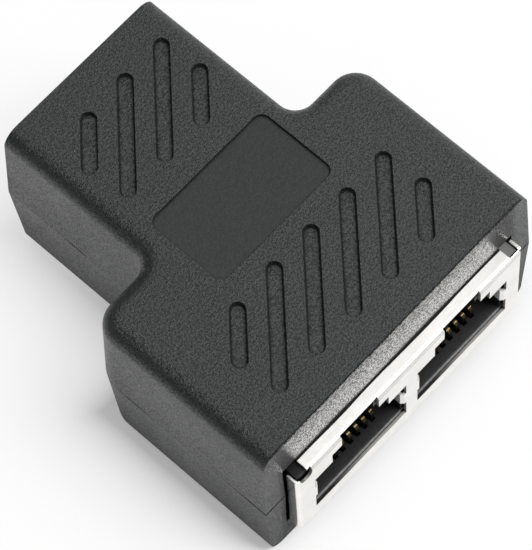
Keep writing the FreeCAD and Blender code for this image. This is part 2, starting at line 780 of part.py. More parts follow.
def make_jack_housing(doc, size, prefix, sockets, rear):
    """The moulded insert with stepped cavities, contact grooves and carrier bays."""
    body = doc.addObject("PartDesign::Body", prefix.title() + "JackHousing")
    body.Label = f"{prefix}_jack_housing"
    half = shield_half(size, sockets) - size.sheet - size.insert_fit
    low = board_top(size)
    high = shield_top(size) - size.sheet - size.insert_fit
    front = size.sheet + size.insert_gap
    floor_z = window_low(size) + size.cavity_lift

    outline = sketch_on(body, "XZ_Plane", "BlockOutline", -front)
    rectangle(outline, -half, half, low, high)
    pad(body, outline, size.jack_depth - front, "Block", up=False)

    rebate = sketch_on(body, "XZ_Plane", "FlapRebateOutline", -front)
    rectangle(rebate, -half - size.sheet, half + size.sheet,
              low - size.sheet, low + size.sheet + size.insert_fit)
    pocket(body, rebate, size.bottom_flap + size.insert_gap, "FlapRebate")

    cavities = sketch_on(body, "XZ_Plane", "CavityOutlines", -front)
    for side in sockets:
        latch_outline(cavities, size, socket_x(size, side), size.cavity_step,
                      floor_z, high - size.cavity_roof)
    hollow = pocket(body, cavities, cavity_depth(size) - front, "Cavities")
    dress(body, "Chamfer", "SillChamfer", hollow,
          lambda edge: along(edge, 0) and near(edge.CenterOfMass.z, floor_z)
          and near(edge.CenterOfMass.y, front), size.sill_chamfer)

    lip_z = floor_z - size.sill_chamfer
    lip_half = size.window_width / 2 - size.cavity_step
    reach = size.insert_gap - size.insert_fit
    for number, side in enumerate(sockets, 1):
        lip = sketch_on(body, "YZ_Plane", f"LipProfile{number}", socket_x(size, side) - lip_half)
        polygon(lip, [(front - reach, lip_z - size.lip_rise), (front, lip_z - size.lip_rise),
                      (front, lip_z), (front - reach, lip_z - reach)])
        pad(body, lip, 2 * lip_half, f"Lip{number}")

    run_z = low + size.contact_run
    groove_z = run_z - size.contact_thickness / 2 - size.groove_floor
    grooves = sketch_on(body, "XY_Plane", "GrooveOutlines", floor_z)
    start = size.contact_front - size.contact_thickness
    for side in sockets:
        for number in range(CONTACTS):
            x = socket_x(size, side) + contact_x(size, number)
            rectangle(grooves, x - groove_half(size), x + groove_half(size),
                      start, size.carrier_front)
    pocket(body, grooves, floor_z - groove_z, "Grooves")

    bay_half = carrier_half(size) + size.carrier_fit
    for number, side in enumerate(sockets, 1):
        bay = sketch_on(body, "YZ_Plane", f"BayProfile{number}", socket_x(size, side) - bay_half)
        polygon(bay, carrier_profile(size, size.carrier_fit))
        pocket(body, bay, 2 * bay_half, f"Bay{number}", up=True)

    leaf_z = low + size.leaf_rise - size.sheet
    rooms = sketch_on(body, "XY_Plane", "LeafRoomOutlines", leaf_z)
    for side in sockets:
        for hand in (-1, 1):
            x = socket_x(size, side)
            inner = (size.window_width / 2 - size.leaf_inset) * hand
            outer = (size.window_width / 2 + size.sheet) * hand
            left, right = (x + outer, x + inner) if hand < 0 else (x + inner, x + outer)
            rectangle(rooms, left, right, size.sheet, size.leaf_reach + size.sheet)
    pocket(body, rooms, size.leaf_width + 2 * size.sheet, "LeafRooms", up=True)
    place_socket_piece(body, size, 0.0, rear)
    return body


def make_carrier(doc, size, prefix, side, rear):
    """A comb block that holds eight contacts at the back of a socket."""
    body = doc.addObject("PartDesign::Body", prefix.title().replace("_", "") + "Carrier")
    body.Label = f"{prefix}_contact_carrier"
    profile = sketch_on(body, "YZ_Plane", "Profile")
    polygon(profile, carrier_profile(size, 0.0))
    pad(body, profile, 2 * carrier_half(size), "Block", both=True)

    slots = sketch_on(body, "XY_Plane", "TailSlotOutlines", board_top(size))
    for number in range(CONTACTS):
        x = contact_x(size, number)
        rectangle(slots, x - groove_half(size), x + groove_half(size),
                  size.carrier_front - size.sheet,
                  size.tail_row + size.tail_step + size.contact_width)
    slot_top = size.contact_run + size.contact_thickness / 2 + size.groove_floor
    pocket(body, slots, slot_top, "TailSlots", up=True)

    comb = sketch_on(body, "XZ_Plane", "CombOutlines", -cavity_depth(size))
    comb_top = board_top(size) + size.carrier_rise - size.contact_thickness
    for number in range(CONTACTS):
        x = contact_x(size, number)
        rectangle(comb, x - groove_half(size), x + groove_half(size),
                  comb_top - size.comb_drop, comb_top)
    pocket(body, comb, 2 * size.contact_entry, "Comb")
    place_socket_piece(body, size, socket_x(size, side), rear)
    return body


def contact_chain(size, tail, offset):
    """One side of a contact, from its tail round the front bend to its tip.

    The offset is from the middle of the metal toward the inside of the bend,
    which is pressed in short flats.
    """
    run_z = board_top(size) + size.contact_run
    bend_y = size.contact_front + size.contact_bend
    bend_z = board_top(size) + size.contact_crest - size.contact_bend
    radius = size.contact_bend - offset
    kink = (90 - size.contact_slope) / CONTACT_KINKS
    reach = radius / cosine(kink / 2)
    chain = [(tail + offset, board_top(size) - size.tail_length), (tail + offset, run_z + offset),
             (size.contact_front + offset, run_z + offset)]
    for number in range(CONTACT_KINKS):
        turn = 180 - kink * (number + 0.5)
        chain.append((bend_y + reach * cosine(turn), bend_z + reach * sine(turn)))
    lift_y = bend_y - radius * sine(size.contact_slope)
    lift_z = bend_z + radius * cosine(size.contact_slope)
    tip_y = cavity_depth(size) + size.contact_entry
    rise = sine(size.contact_slope) / cosine(size.contact_slope)
    chain.append((tip_y, lift_z + (tip_y - lift_y) * rise))
    return chain


def make_contact(doc, size, prefix, side, number, rear):
    """A bent spring: tail, flat run, front rise and sloping arm to the comb."""
    name = f"{prefix}_contact_{number + 1}"
    body = doc.addObject("PartDesign::Body", name.title().replace("_", ""))
    body.Label = name
    tail = tail_y(size, number)
    profile = sketch_on(body, "YZ_Plane", "Profile")
    inside = contact_chain(size, tail, size.contact_thickness / 2)
    outside = contact_chain(size, tail, -size.contact_thickness / 2)
    polygon(profile, outside + inside[::-1])
    pad(body, profile, size.contact_width, "Spring", both=True)
    place_socket_piece(body, size, socket_x(size, side) + contact_x(size, number), rear)
    return body


# Circuit board


def make_board(doc, size):
    """The T-shaped board with holes for the tails, the bosses and the legs."""
    body = doc.addObject("PartDesign::Body", "CircuitBoard")
    body.Label = "circuit_board"
    end = half_length(size) - size.wall - size.board_end
    half_front = shield_half(size, FRONT_SOCKETS) + size.board_fit
    half_rear = shield_half(size, REAR_SOCKETS)
    step = size.jack_depth + size.board_fit - face_y(size)
    outline = sketch_on(body, "XY_Plane", "Outline", board_top(size))
    polygon(outline, [
        (-half_front, -end), (half_front, -end), (half_front, step), (half_rear, step),
        (half_rear, end), (-half_rear, end), (-half_rear, step), (-half_front, step),
    ])
    pad(body, outline, size.board_thickness, "Plate", up=False)

    for sockets, sign in ((FRONT_SOCKETS, -1), (REAR_SOCKETS, 1)):
        for side in sockets:
            for row in range(TAIL_ROWS):
                holes = sketch_on(body, "XY_Plane", "TailHoleOutlines", board_top(size))
                for number in range(row, CONTACTS, TAIL_ROWS):
                    x = (socket_x(size, side) + contact_x(size, number)) * -sign
                    y = (face_y(size) - tail_y(size, number)) * sign
                    drilled(holes, x, y, size.tail_hole)
                pocket(body, holes, size.board_thickness, "TailHoles")

    notches = sketch_on(body, "XY_Plane", "LegNotchOutlines", board_top(size))
    for sockets, sign in ((FRONT_SOCKETS, -1), (REAR_SOCKETS, 1)):
        half = shield_half(size, sockets)
        outer = half + 2 * size.board_fit
        inner = half - size.sheet - size.leg_fit
        start = size.leg_place - size.leg_width / 2 - size.leg_fit
        stop = size.leg_place + size.leg_width / 2 + size.leg_fit
        first, last = (face_y(size) - start) * sign, (face_y(size) - stop) * sign
        low, high = (first, last) if sign < 0 else (last, first)
        rectangle(notches, -outer, -inner, low, high)
        rectangle(notches, inner, outer, low, high)
    pocket(body, notches, size.board_thickness, "LegNotches")
    return body


def make_pieces(doc, size):
    """Every piece of the adapter."""
    pieces = [make_top_shell(doc, size), make_bottom_shell(doc, size), make_board(doc, size)]
    for prefix, sockets, rear in (("front", FRONT_SOCKETS, False), ("rear", REAR_SOCKETS, True)):
        pieces.append(make_shield(doc, size, prefix, sockets, rear))
        pieces.append(make_jack_housing(doc, size, prefix, sockets, rear))
        for side in sockets:
            socket = {-1: "front_left", 1: "front_right", 0: "rear"}[side]
            pieces.append(make_carrier(doc, size, socket, side, rear))
            for number in range(CONTACTS):
                pieces.append(make_contact(doc, size, socket, side, number, rear))
    return pieces


def check(doc, pieces):
    """Stops at a feature that failed or a piece that isn't one sound solid."""
    for item in doc.Objects:
        if "Invalid" in item.State or "Error" in item.State:
            raise RuntimeError(f"{item.Label} of the document failed")
    for piece in pieces:
        shape = piece.Shape
        if shape.isNull() or not shape.isValid() or len(shape.Solids) != 1:
            raise RuntimeError(f"{piece.Label} is not one sound solid")


def main():
    doc = FreeCAD.newDocument("EthernetSplitter")
    size = make_sheet(doc)
    pieces = make_pieces(doc, size)
    doc.recompute()
    check(doc, pieces)
    os.makedirs(PARTS_FOLDER, exist_ok=True)
    for piece in pieces:
        piece.Shape.exportStep(os.path.join(PARTS_FOLDER, piece.Label + ".step"))


main()
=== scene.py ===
import math

import bpy
from bpy.props import FloatProperty, FloatVectorProperty, PointerProperty
from bpy.types import NodeSocket, Operator, Panel, PropertyGroup
from mathutils import Matrix, Vector


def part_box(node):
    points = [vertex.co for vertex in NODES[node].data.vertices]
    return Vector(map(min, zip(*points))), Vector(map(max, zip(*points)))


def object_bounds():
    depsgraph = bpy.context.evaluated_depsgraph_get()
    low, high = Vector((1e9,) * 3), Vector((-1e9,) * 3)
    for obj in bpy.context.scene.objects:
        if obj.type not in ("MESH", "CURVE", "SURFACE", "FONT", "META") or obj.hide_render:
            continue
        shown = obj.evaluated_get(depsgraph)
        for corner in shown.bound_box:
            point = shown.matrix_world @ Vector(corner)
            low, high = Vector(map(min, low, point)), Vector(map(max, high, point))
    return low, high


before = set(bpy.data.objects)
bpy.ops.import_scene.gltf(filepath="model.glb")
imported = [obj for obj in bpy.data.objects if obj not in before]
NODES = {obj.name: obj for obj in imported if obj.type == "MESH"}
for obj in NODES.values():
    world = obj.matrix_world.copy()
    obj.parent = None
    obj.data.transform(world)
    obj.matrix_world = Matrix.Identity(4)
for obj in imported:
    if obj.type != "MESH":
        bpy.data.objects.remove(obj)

bl_info = {
    "name": "Ethernet Splitter Finish",
    "version": (1, 0, 0),
    "blender": (4, 5, 0),
    "location": "View3D > Sidebar > Splitter",
    "description": "Finishes and studio for a T-shaped ethernet splitter adapter",
    "category": "Material",
}

# All lengths are in metres, in the frame of the solids: +Z up, and the double
# socket faces -Y.

MM = 0.001
CAD_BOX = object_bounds()
TOP = CAD_BOX[1].z
SOCKET_FRONT = CAD_BOX[1].y  # from the middle, at both ends of the part
IMAGE_HEIGHT = 550
BLACK = (0.0, 0.0, 0.0)

# How far a mask fades at its outline.
SHARP = 0.01 * MM
CRISP = 0.02 * MM
SOFT = 0.05 * MM

# Layers of the eroded grain: fineness against the grain's, detail and roughness.
GRAIN_LAYERS = {
    "coarse": (1.0, 2.0, 0.55),
    "fine": (2.7, 1.0, 0.5),
    "mottle": (0.45, 1.0, 0.5),
    "speckle": (1.25, 0.0, 0.5),
    "broad": (0.04, 3.0, 0.5),
}
GRAIN_MIX = {"coarse": 0.45, "fine": 0.4, "mottle": 0.15}

# Layers of the rolled sheet: fineness against the streaks', detail and roughness.
STREAK_LAYERS = {"streak": (1.0, 2.0, 0.6), "cloud": (0.05, 2.0, 0.5)}

# Waves of the line where the sheet enters the housing: waves in a metre, detail, roughness.
JOINT_WAVES = (180.0, 0.0, 0.5)

# Ranges: the lowest and the highest value of a mask's source and, where four are given,
# what they become.
FULL = (0.0, 1.0)
HEIGHTS = (0.3, 0.7, *FULL)
GRAIN_TOPS = (0.44, 0.62, *FULL)
SPECKLES = (0.44, 0.56, *FULL)
BROAD_PATCHES = (0.35, 0.65, *FULL)
SHELTERED = (0.45, 0.95, 1.0, 0.0)
SEAM_BREAKS = (0.5, 0.8, 0.1, 0.7)
JOINT_BREAKS = (0.5, 0.75)
LIP_STREAKS = (0.2, 0.7, 0.7, 1.0)
THIN_PLATE = (0.6, 1.0, 0.0, 0.6)
# Painted shade on the contact springs, from the crevice shade.
SPRING_SHADE = (0.0, 0.4, 0.9, 0.98)

# Samples of the nodes that look round a point.
SHELTER_SAMPLES = 8
EDGE_SAMPLES = 6

# What the layers add to a surface's roughness.
GRAIN_ROUGHNESS = -0.1
BROAD_ROUGHNESS = 0.06
STREAK_ROUGHNESS = 0.1
FLOW_ROUGHNESS = 0.08
SHELTER_ROUGHNESS = 0.3
WIRE_ROUGHNESS = 0.08
DULL_ROUGHNESS = 0.2
BOARD_ROUGHNESS = 0.1

LABEL_TONE = 0.35  # of the smoothed recess, between hollow and grain
FOOT_HEIGHT = 0.75  # of the part's height, where the sides' foot ends
FLOOR_CELLS = 4
FLAG_STEPS = 96
CLIP_START = 10.0 * MM


# Properties


def colour(name, description, value):
    """A colour that a user may change."""
    return FloatVectorProperty(name=name, description=description, subtype="COLOR",
                               default=value, min=0.0, max=1.0)


def length(name, description, value):
    """A length that a user may change."""
    return FloatProperty(name=name, description=description, default=value,
                         min=0.0, precision=6, subtype="DISTANCE", unit="LENGTH")


def share(name, description, value):
    """A value between nothing and all."""
    return FloatProperty(name=name, description=description, default=value,
                         min=0.0, max=1.0, subtype="FACTOR")


def number(name, description, value):
    """A plain number that a user may change."""
    return FloatProperty(name=name, description=description, default=value, min=0.0)


def angle(name, description, degrees):
    """An angle that a user may change."""
    return FloatProperty(name=name, description=description, default=math.radians(degrees),
                         subtype="ANGLE", unit="ROTATION")


def power(name, description, value):
    """The power of a lamp."""
    return FloatProperty(name=name, description=description, default=value,
                         min=0.0, unit="POWER")


def direction(name, description, value):
    """A direction from the part."""
    return FloatVectorProperty(name=name, description=description, default=value,
                               subtype="DIRECTION")


class HousingSettings(PropertyGroup):
    """Finish of the two shells."""

    plastic: colour("Plastic", "Moulded plastic between its grains", (0.003, 0.0042, 0.0042))
    grain: colour("Grain", "Tops of the plastic's grains", (0.0125, 0.0158, 0.0154))
    # Lighter tone of the front face above the sockets: partly plug wear, partly painted sheen.
    scuff: colour("Scuff", "Grains that plugs rub above the sockets", (0.026, 0.0265, 0.026))
    grain_size: length("Grain size", "Width of a grain of the eroded surface", 0.25 * MM)
    grain_depth: length("Grain depth", "Height of a grain", 0.08 * MM)
    speckle: share("Speckle", "Share of the speckle in the tone, beside the grain", 0.75)
    roughness: share("Roughness", "Roughness of the grained plastic", 0.41)
    gloss: share("Gloss", "Strength of the plastic's reflections", 0.5)
    glint: share("Glint", "Shine of the grains' tops", 0.2)
    glint_index: number("Glint index", "Refractive index of the shine", 1.88)
    glint_roughness: share("Glint roughness", "Roughness of the shine", 0.25)
    strip_end: length("Strip end", "Rubbed strip's end to the side of the shield", 2.2 * MM)
    # The strip's ends lean like the edge of the painted sheen.
    strip_lean: share("Strip lean", "Sideways lean of the rubbed strip's ends per height", 0.29)
    strip_fade: length("Strip fade", "How far the rubbed strip's ends fade", 1.1 * MM)
    strip_hollow: share("Strip hollow", "Shine of the rubbed strip between its grains", 0.12)
    dull_width: length("Dull width", "Dulled face at each side of the shield", 1.6 * MM)
    dull_fade: length("Dull fade", "How far the dulled face fades", 1.0 * MM)
    dulled: share("Dulled ends", "Roughness added beside the rubbed strip", 0.36)
    foot_dulled: share("Dulled foot", "Roughness added at the foot of the sides", 0.22)
    slot_dulled: share("Dulled slots", "Roughness added in the slots and joints", 0.55)
    # Painted shade in the slots, and the darkness of the seam and the top edge line.
    slot_shade_and_joint_dark: share("Dark slots", "Darkness of the slots and joints", 0.92)
    crevice: length("Crevice", "Reach of the darkness in the slots and joints", 0.37 * MM)
    edge: length("Edge rounding", "Rounding of the shells' crisp edges", 0.04 * MM)
    front_lean: length("Front lean", "Front face sets back by this at its top edge", 0.25 * MM)
    seam: length("Seam", "Half the width of the joint between the shells", 0.14 * MM)
    seam_open: length("Open seam", "How far from the front the joint is unbroken", 2.0 * MM)
    # Painted shade: the dark line along the front's top edge.
    top_edge_shade: length("Top line", "Half the width of the line along the top edge", 0.1 * MM)
    top_fade: length("Top fade", "How far the line along the top edge fades", 0.06 * MM)
    line_depth: number("Line depth", "Depth of the joint and the top line, in grains", 2.2)
    label_width: length("Label width", "Label recess across the housing", 15.2 * MM)
    label_length: length("Label length", "Label recess along the housing", 9.15 * MM)
    label_middle: length("Label middle", "Label recess in front of the middle", 0.72 * MM)
    label_side: length("Label side", "Label recess to the right of the middle", 0.3 * MM)
    label_depth: length("Label depth", "Label recess below the top", 0.3 * MM)
    label_grain: share("Label grain", "Share of the grain on the label recess", 0.25)


class ShieldSettings(PropertyGroup):
    """Finish of the folded sheets."""

    nickel: colour("Nickel", "Bright plate on the sheet", (0.94, 0.928, 0.906))
    cloud: share("Cloud", "Tone of the plate's clouds against the rest", 0.93)
    cloud_depth: length("Cloud depth", "Height of the plate's clouds", 0.002 * MM)
    roughness: share("Roughness", "Roughness of the plate", 0.5)
    streak: length("Streak", "Width of a rolling streak", 0.12 * MM)
    stretch: share("Stretch", "Width of a rolling streak against its length", 0.05)
    edge: length("Edge rounding", "Rounding of the sheet's cut edges", 0.06 * MM)
    fold: length("Fold", "Outer radius of the folds", 0.5 * MM)
    # Painted shade along the folds.
    fold_shade: share("Fold darkness", "Darkness of the line along the folds", 0.4)
    burnish: length("Burnish", "Smooth strip along the side flaps", 0.35 * MM)
    flap_roughness: share("Flap roughness", "Roughness of the side flaps", 0.16)
    sheet: length("Sheet", "Thickness of the sheet", 0.3 * MM)
    cut: colour("Cut edge", "Bare metal of the windows' cut edges", (0.45, 0.44, 0.42))
    leaf: length("Leaf", "Middle of the grounding leaves above the floor", 10.05 * MM)
    leaf_width: length("Leaf width", "Grounding leaves from top to bottom", 2.1 * MM)
    flange: length("Flange", "Sheet inside the housing's cut-out", 0.5 * MM)
    # Painted shadow line where the sheet enters the housing.
    joint: length("Joint", "Dark line where the sheet enters the housing", 0.1 * MM)
    joint_thin: share("Thin joint", "Thinnest part of that line against its widest", 0.2)
    joint_shade: share("Joint darkness", "Darkness of that line", 0.97)
    window: length("Window", "Width of a window", 12.44 * MM)
    pitch: length("Pitch", "Between the two front windows", 13.97 * MM)
    sill: length("Sill", "Foot of the insert to the lower edge of the windows", 2.3 * MM)
    sill_start: share("Sill start", "Where the lower edge starts to brighten, from its left", 0.2)
    sill_end: share("Sill end", "Where the lower edge is all bright, from its left", 0.6)
    sill_dark: share("Sill darkness", "Darkness of the lower edge at its left", 0.92)
    crevice: length("Crevice", "Reach of the darkness in the sheet's corners", 0.35 * MM)
    # Painted shade in the sheet's corners.
    sheet_corner_shade: share("Crevice darkness", "Darkness of the sheet's corners", 0.85)


class SocketSettings(PropertyGroup):
    """Finish of what is inside the sockets."""

    moulding: colour("Moulding", "Plastic of the inserts and carriers", (0.012, 0.012, 0.013))
    flow: length("Flow mark", "Width of a flow mark on the mouldings", 0.4 * MM)
    flow_tone: number("Flow tone", "Tone of the flow marks against the plastic", 1.6)
    flow_depth: length("Flow depth", "Height of a flow mark", 0.004 * MM)
    # Plug wear and a painted highlight on the sockets' lips.
    wear: colour("Wear", "Insert where plugs rub its lip", (0.3, 0.3, 0.3))
    lip: length("Lip", "Front of a socket to the line that plugs rub", 0.48 * MM)
    lip_line: length("Lip line", "Half the width of that line, and its fade", 0.06 * MM)
    lip_level: length("Lip level", "Lip of the sockets above the floor", 6.5 * MM)
    lip_height: length("Lip height", "Half the height of the rubbed lip", 0.22 * MM)
    rub_start: length("Rub start", "Front of a socket to its weaker rubbing", 0.6 * MM)
    rub_end: length("Rub end", "Front of a socket to its weakest rubbing", 1.6 * MM)
    rub_weak: share("Weaker rubbing", "Wear behind the rubbed line", 0.1)
    rub_weakest: share("Weakest rubbing", "Wear further in", 0.025)
    # Painted light on the insert's top, seen lit in the shield's right corner relief.
    skin: colour("Skin", "Insert's top, seen in the shield's corner relief", (0.2, 0.2, 0.195))
    roughness: share("Roughness", "Roughness of the mouldings", 0.33)
    gloss: share("Gloss", "Strength of the mouldings' reflections", 0.2)
    shadow: length("Shadow", "Reach of the darkness inside the sockets", 1.5 * MM)
    gold: colour("Gold", "Plate on the contact springs", (0.62, 0.47, 0.23))
    bronze: colour("Bronze", "Contact springs where the plate is thin", (0.42, 0.29, 0.16))
    wire_roughness: share("Wire roughness", "Roughness of the contact springs", 0.24)
    wire_streak: length("Wire streak", "Width of a mark on the springs", 0.1 * MM)
    wire_depth: length("Wire depth", "Height of a mark on the springs", 0.001 * MM)
    # Painted shade on the springs deep in the sockets.
    reach: length("Dulling", "Reach of the dullness of the contacts", 5.0 * MM)
    # Painted glint on each spring's crest and painted shade on its arm.
    crest: length("Crest", "Front of a socket to the rubbed spot of its contacts", 2.14 * MM)
    spot: length("Spot", "Half the width of the rubbed spot", 0.03 * MM)
    spot_glint: share("Spot gold", "Gold left on the rubbed spot", 0.7)
    arm: length("Arm", "How far behind the rubbed spot a contact is dull", 0.2 * MM)
    arm_shade: share("Dull arm", "Darkness of the dull part of a contact", 0.98)
    edge: length("Edge rounding", "Rounding of the contacts and mouldings", 0.03 * MM)


class BoardSettings(PropertyGroup):
    """Finish of the circuit board."""

    mask: colour("Solder mask", "Lacquer of the board", (0.02, 0.12, 0.05))
    weave: length("Weave", "Width of a strand of the glass cloth", 0.5 * MM)
    weave_tone: number("Weave tone", "Tone of the raised strands against the lacquer", 1.5)
    weave_depth: length("Weave depth", "Height of a strand", 0.01 * MM)
    roughness: share("Roughness", "Roughness of the lacquer", 0.3)
    edge: length("Edge rounding", "Rounding of the board's edges", 0.05 * MM)


class StageSettings(PropertyGroup):
    """Floor, light and camera."""

    floor: colour("Floor", "Pale floor", (0.9, 0.9, 0.9))
    floor_size: length("Floor size", "Side of the square floor", 4.0)
    white: number("White", "Strength of the floor's plain white", 1.04)
    glow: share("Background", "Share of plain white in the seen floor, far from the part", 0.78)
    shadow_glow: share("Shadow", "Share of plain white in the seen floor, beside the part", 0.21)
    shadow_reach: length("Shadow reach", "How fast the floor whitens away from the part", 2.2 * MM)
    neck_reach: length("Neck reach", "How fast the floor whitens away from the neck", 3.4 * MM)
    front_shadow: share("Front shadow", "Strength of the shadow before the sockets", 0.3)
    rear_shadow: share("Rear shadow", "Strength of the shadow behind the part", 0.45)
    shoulder: length("Shoulder", "Where the neck starts, behind the middle", 1.8 * MM)
    neck_wall: length("Neck wall", "Rear socket's insert to the outside of the neck", 2.2 * MM)
    ambient: share("Ambient", "Even light from all round", 0.5)
    flag: colour("Flags", "Dark cards beside the set", (0.03, 0.03, 0.03))
    flag_reach: length("Flag reach", "Flags to the set's middle, and their height", 160.0 * MM)
    flag_foot: length("Flag foot", "Lower edge of the flags above the floor", 3.0 * MM)
    flag_start: angle("Flag start", "Where the row of flags starts, from the right", 60.0)
    flag_sweep: angle("Flag sweep", "How far the row of flags goes round", 240.0)
    key_power: power("Key light", "Softbox over the front", 2.2)
    key_way: direction("Key direction", "From the part to the key light", (0.28, -0.44, 0.85))
    key_distance: length("Key distance", "Key light to the aimed point", 600.0 * MM)
    key_size: length("Key size", "Side of the key light", 250.0 * MM)
    fill_power: power("Fill light", "Low softbox at the front", 0.5)
    fill_way: direction("Fill direction", "From the part to the fill light", (0.45, -0.85, 0.3))
    fill_distance: length("Fill distance", "Fill light to the aimed point", 700.0 * MM)
    fill_size: length("Fill size", "Side of the fill light", 450.0 * MM)
    aim: FloatVectorProperty(name="Aim", description="Point that camera and lights face",
                             default=(-0.61 * MM, -4.0 * MM, 11.2 * MM), precision=6,
                             subtype="TRANSLATION", unit="LENGTH")
    azimuth: angle("Azimuth", "Camera's turn about the part from its front", -42.5625)
    elevation: angle("Elevation", "Camera's height over the horizon", 65.817)
    roll: angle("Roll", "Camera's turn about its own axis", -5.332)
    distance: length("Distance", "Camera to the aimed point", 322.49 * MM)
    focal_pixels: number("Focal length", "Focal length in image pixels", 3451.24)


# Shader helpers


def feed(tree, socket, value):
    """Links a socket to another one, or sets it to a fixed value."""
    if isinstance(value, NodeSocket):
        tree.links.new(value, socket)
    else:
        socket.default_value = value


def math_node(tree, operation, *values):
    """A Math node fed by numbers or sockets; returns its output."""
    node = tree.nodes.new("ShaderNodeMath")
    node.operation = operation
    for socket, value in zip(node.inputs, values):
        feed(tree, socket, value)
    return node.outputs["Value"]


def product(tree, first, *others):
    """Numbers or sockets multiplied by each other."""
    for other in others:
        first = math_node(tree, "MULTIPLY", first, other)
    return first


def weighted(tree, start, *terms):
    """A start value plus sockets times their weights."""
    for value, weight in terms:
        start = math_node(tree, "MULTIPLY_ADD", value, weight, start)
    return start


def map_range(tree, value, low, high, to_low, to_high):
    """Maps a socket's value from one range to another."""
    node = tree.nodes.new("ShaderNodeMapRange")
    tree.links.new(value, node.inputs["Value"])
    ends = {"From Min": low, "From Max": high, "To Min": to_low, "To Max": to_high}
    for label, end in ends.items():
        node.inputs[label].default_value = end
    return node.outputs["Result"]


def band(tree, value, middle, half, fade):
    """1 where a value lies within half of the middle, fading to 0 beyond."""
    distance = math_node(tree, "ABSOLUTE", math_node(tree, "SUBTRACT", value, middle))
    return map_range(tree, distance, half, half + fade, 1.0, 0.0)


def noise(tree, vector, scale, detail, roughness):
    """A noise texture's value."""
    node = tree.nodes.new("ShaderNodeTexNoise")
    tree.links.new(vector, node.inputs["Vector"])
    feed(tree, node.inputs["Scale"], scale)
    node.inputs["Detail"].default_value = detail
    node.inputs["Roughness"].default_value = roughness
    return node.outputs["Fac"]


def surface_point(tree):
    """A point of the surface in the frame of the solids, whole and as X, Y and Z."""
    place = tree.nodes.new("ShaderNodeTexCoord").outputs["Object"]
    split = tree.nodes.new("ShaderNodeSeparateXYZ")
    tree.links.new(place, split.inputs["Vector"])
    return place, split.outputs


def blend(tree, factor, first, second, kind="MIX"):
    """Blends two colours, sockets or fixed ones, by a socket's value."""
    node = tree.nodes.new("ShaderNodeMix")
    node.data_type = "RGBA"
    node.blend_type = kind
    tree.links.new(factor, node.inputs["Factor"])
    sockets = [socket for socket in node.inputs if socket.type == "RGBA"]
    for socket, value in zip(sockets, (first, second)):
        feed(tree, socket, value if isinstance(value, NodeSocket) else (*value, 1.0))
    return next(socket for socket in node.outputs if socket.type == "RGBA")


def shade(tree, tone, amount):
    """Darkens a colour by an amount from 0 to 1."""
    return blend(tree, amount, tone, BLACK, "MULTIPLY")


def scaled(tone, ratio):
    """A fixed colour made lighter or darker."""
    return [value * ratio for value in tone]


def bare_material(name):
    """A node material with only its output; returns it, its tree and the surface socket."""
    material = bpy.data.materials.new(name)
    material.use_nodes = True
    tree = material.node_tree
    tree.nodes.clear()
    output = tree.nodes.new("ShaderNodeOutputMaterial")
    return material, tree, output.inputs["Surface"]


def new_material(name):
    """A node material with a Principled shader; returns it, its tree and the shader's inputs."""
    material, tree, surface = bare_material(name)
    shader = tree.nodes.new("ShaderNodeBsdfPrincipled")
    tree.links.new(shader.outputs["BSDF"], surface)
    return material, tree, shader.inputs


# Shader groups, each shared by several finishes


def new_group(name, inputs, outputs, kind="NodeSocketFloat"):
    """A new shader group; returns it, its inputs' sockets and its outputs' sockets."""
    tree = bpy.data.node_groups.new(name, "ShaderNodeTree")
    for label, value in inputs.items():
        socket = tree.interface.new_socket(label, in_out="INPUT", socket_type="NodeSocketFloat")
        socket.default_value = value
    for label in outputs:
        tree.interface.new_socket(label, in_out="OUTPUT", socket_type=kind)
    given = tree.nodes.new("NodeGroupInput")
    result = tree.nodes.new("NodeGroupOutput")
    return tree, given.outputs, result.inputs


def place_group(tree, build, **values):
    """Puts a shader group in a material with its own values, and builds it on first use."""
    name = build.__name__.replace("_", " ").title()
    node = tree.nodes.new("ShaderNodeGroup")
    node.node_tree = bpy.data.node_groups.get(name) or build(name)
    for label, value in values.items():
        feed(tree, node.inputs[label], value)
    return node.outputs


def eroded_grain(name):
    """Group: the pitted grain that a spark-eroded mould leaves, and broad unevenness."""
    labels = ["Height", "Grain", "Speckle", "Broad"]
    tree, given, result = new_group(name, {"Scale": 5000.0}, labels)
    place = surface_point(tree)[0]
    layers = {}
    for key, (ratio, detail, roughness) in GRAIN_LAYERS.items():
        scale = math_node(tree, "MULTIPLY", given["Scale"], ratio)
        layers[key] = noise(tree, place, scale, detail, roughness)
    mixed = weighted(tree, 0.0, *((layers[key], weight) for key, weight in GRAIN_MIX.items()))
    tree.links.new(map_range(tree, mixed, *HEIGHTS), result["Height"])
    tree.links.new(map_range(tree, mixed, *GRAIN_TOPS), result["Grain"])
    tree.links.new(map_range(tree, layers["speckle"], *SPECKLES), result["Speckle"])
    tree.links.new(map_range(tree, layers["broad"], *BROAD_PATCHES), result["Broad"])
    return tree


def rolled_streaks(name):
    """Group: fine streaks along X, as rolling and drawing leave on sheet and wire."""
    labels = ["Height", "Streak", "Cloud"]
    tree, given, result = new_group(name, {"Scale": 8000.0, "Stretch": 0.06}, labels)
    place, at = surface_point(tree)
    join = tree.nodes.new("ShaderNodeCombineXYZ")
    drawn = math_node(tree, "MULTIPLY", at["X"], given["Stretch"])
    for label, value in (("X", drawn), ("Y", at["Y"]), ("Z", at["Z"])):
        tree.links.new(value, join.inputs[label])
    layers = {}
    for key, vector in (("streak", join.outputs["Vector"]), ("cloud", place)):
        ratio, detail, roughness = STREAK_LAYERS[key]
        scale = math_node(tree, "MULTIPLY", given["Scale"], ratio)
        layers[key] = noise(tree, vector, scale, detail, roughness)
    tree.links.new(layers["streak"], result["Height"])
    tree.links.new(map_range(tree, layers["streak"], *HEIGHTS), result["Streak"])
    tree.links.new(map_range(tree, layers["cloud"], *HEIGHTS), result["Cloud"])
    return tree


